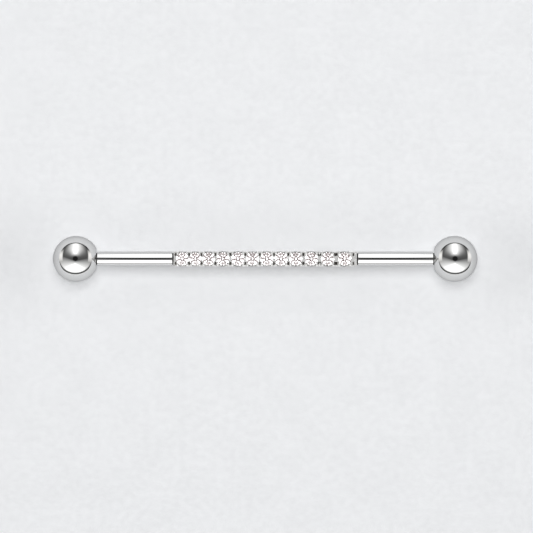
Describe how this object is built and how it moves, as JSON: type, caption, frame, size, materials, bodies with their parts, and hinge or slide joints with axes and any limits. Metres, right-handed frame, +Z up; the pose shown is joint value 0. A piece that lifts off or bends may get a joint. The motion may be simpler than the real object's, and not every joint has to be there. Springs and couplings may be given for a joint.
{
  "type": "industrial barbell",
  "caption": "Straight barbell for two piercings, with a row of round clear stones set in the middle of its bar and a screw-on ball at each end.",
  "frame": {"origin": "on the surface that the barbell lies on, under the centre of its bar", "axes": "+X along the bar towards the picture's right-hand ball, +Y towards the top of the picture, +Z up, the way the stones face"},
  "size_m": [0.046, 0.005, 0.005],
  "materials": {
    "polished_steel": "polished",
    "setting_steel": "polished",
    "clear_stone": "polished"
  },
  "bodies": {
    "bar": {"rod_left": "polished_steel", "rod_right": "polished_steel", "gem_setting": "setting_steel", "stone_01": "clear_stone", "stone_02": "clear_stone", "stone_03": "clear_stone", "stone_04": "clear_stone", "stone_05": "clear_stone", "stone_06": "clear_stone", "stone_07": "clear_stone", "stone_08": "clear_stone", "stone_09": "clear_stone", "stone_10": "clear_stone", "stone_11": "clear_stone", "stone_12": "clear_stone"},
    "left_ball": {"ball_left": "polished_steel"},
    "right_ball": {"ball_right": "polished_steel"}
  },
  "joints": [
    {"name": "ball_left_slide", "type": "slide", "parent": "bar", "child": "left_ball", "axis": [-1, 0, 0], "range_m": [0, 0.008]},
    {"name": "ball_right_slide", "type": "slide", "parent": "bar", "child": "right_ball", "axis": [1, 0, 0], "range_m": [0, 0.008]}
  ]
}
